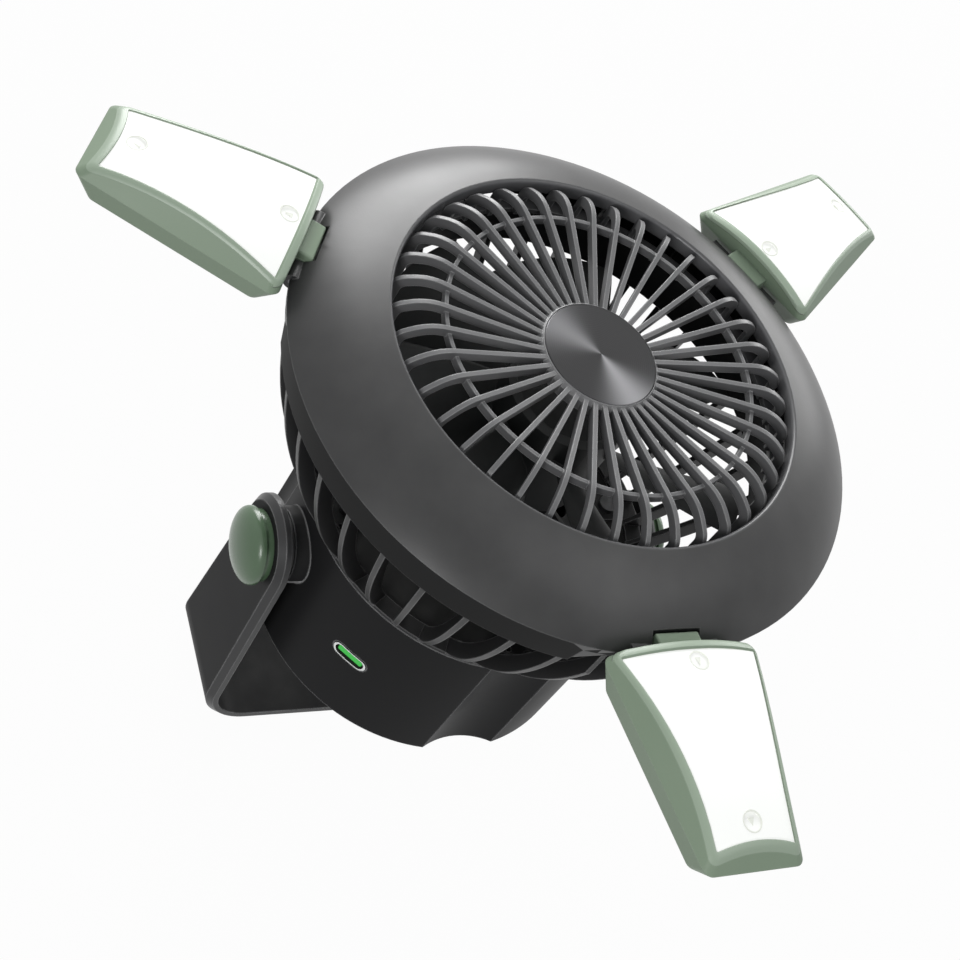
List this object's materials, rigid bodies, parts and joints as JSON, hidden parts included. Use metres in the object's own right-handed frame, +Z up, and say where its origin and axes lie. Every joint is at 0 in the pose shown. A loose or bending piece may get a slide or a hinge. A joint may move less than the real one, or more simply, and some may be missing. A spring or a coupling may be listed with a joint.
{
  "type": "portable camping fan",
  "caption": "Battery camping fan with a round grille in a domed ring, fold-out light panels, a ribbed rear basket and a tilting strap stand.",
  "frame": {"origin": "on the table, midway between the two foot pads, under the fan's axis", "axes": "+Z up along the fan's axis at rest; the tilt axis runs along Y; the first light panel points along +X"},
  "size_m": [0.2052, 0.2356, 0.1621],
  "materials": {
    "body_black": "satin near-black moulding",
    "ring_charcoal": "satin charcoal moulding",
    "basket_charcoal": "satin charcoal moulding",
    "grille_grey": "satin mid grey moulding",
    "impeller_grey": "satin dark grey moulding",
    "inner_black": "plain black moulding",
    "sage": "satin sage green moulding",
    "spun_metal": "spun, fine circular grain",
    "diffuser": "frosted white, lit from inside",
    "screw_white": "white screw heads",
    "port_white": "white surround",
    "port_green": "green tongue",
    "pad_rubber": "matt rubber",
    "washer_nylon": "nylon washer",
    "steel": "bright steel",
    "core_steel": "laminated steel",
    "copper": "enamelled copper wire, brass stands in for copper",
    "magnet": "bonded magnet",
    "cell_sleeve": "shrink sleeve",
    "board_green": "circuit board",
    "board_white": "white circuit board"
  },
  "bodies": {
    "stand": {"stand_bracket": "body_black", "foot_pads": "pad_rubber", "left_pivot_cap": "sage", "right_pivot_cap": "sage", "pivot_screws": "steel", "friction_washers": "washer_nylon"},
    "head": {"front_ring": "ring_charcoal", "front_grille": "grille_grey", "hub_cap": "spun_metal", "rear_basket": "basket_charcoal", "basket_fins": "basket_charcoal", "basket_foot": "basket_charcoal", "ring_screws": "steel", "battery_housing": "body_black", "base_cover": "body_black", "base_screws": "steel", "deck_screws": "steel", "motor_mount": "inner_black", "motor_bearings": "steel", "motor_stator": "core_steel", "motor_coils": "copper", "battery_cells": "cell_sleeve", "cell_holder": "inner_black", "control_board": "board_green", "board_pad": "pad_rubber", "usb_surround": "port_white", "usb_shell": "steel", "usb_tongue": "port_green", "button_board": "board_green", "panel_1_pin": "steel", "panel_2_pin": "steel", "panel_3_pin": "steel"},
    "rotor": {"impeller": "impeller_grey", "rotor_cup": "core_steel", "rotor_magnets": "magnet", "motor_shaft": "steel"},
    "fan_button": {"fan_button": "sage"},
    "light_button": {"light_button": "sage"},
    "panel_1": {"panel_1_housing": "sage", "panel_1_diffuser": "diffuser", "panel_1_screws": "screw_white", "panel_1_led_board": "board_white"},
    "panel_2": {"panel_2_housing": "sage", "panel_2_diffuser": "diffuser", "panel_2_screws": "screw_white", "panel_2_led_board": "board_white"},
    "panel_3": {"panel_3_housing": "sage", "panel_3_diffuser": "diffuser", "panel_3_screws": "screw_white", "panel_3_led_board": "board_white"}
  },
  "joints": [
    {"name": "head_tilt", "type": "hinge", "parent": "stand", "child": "head", "pos_m": [0, 0, 0.0712], "axis": [0, 1, 0], "range_deg": [-90, 90]},
    {"name": "impeller_spin", "type": "hinge", "parent": "head", "child": "rotor", "pos_m": [0, 0, 0.1252], "axis": [0, 0, 1], "continuous": true},
    {"name": "panel_1_fold", "type": "hinge", "parent": "head", "child": "panel_1", "pos_m": [0.0742, 0, 0.147], "axis": [0, 1, 0], "range_deg": [0, 90]},
    {"name": "panel_2_fold", "type": "hinge", "parent": "head", "child": "panel_2", "pos_m": [-0.0371, 0.06426, 0.147], "axis": [-0.866, -0.5, 0], "range_deg": [0, 90]},
    {"name": "panel_3_fold", "type": "hinge", "parent": "head", "child": "panel_3", "pos_m": [-0.0371, -0.06426, 0.147], "axis": [0.866, -0.5, 0], "range_deg": [0, 90]},
    {"name": "fan_button_press", "type": "slide", "parent": "head", "child": "fan_button", "axis": [1, 0, 0], "range_m": [0, 0.0006], "stiffness_N_per_m": 1200, "springref_m": -0.0003},
    {"name": "light_button_press", "type": "slide", "parent": "head", "child": "light_button", "axis": [1, 0, 0], "range_m": [0, 0.0006], "stiffness_N_per_m": 1200, "springref_m": -0.0003}
  ]
}
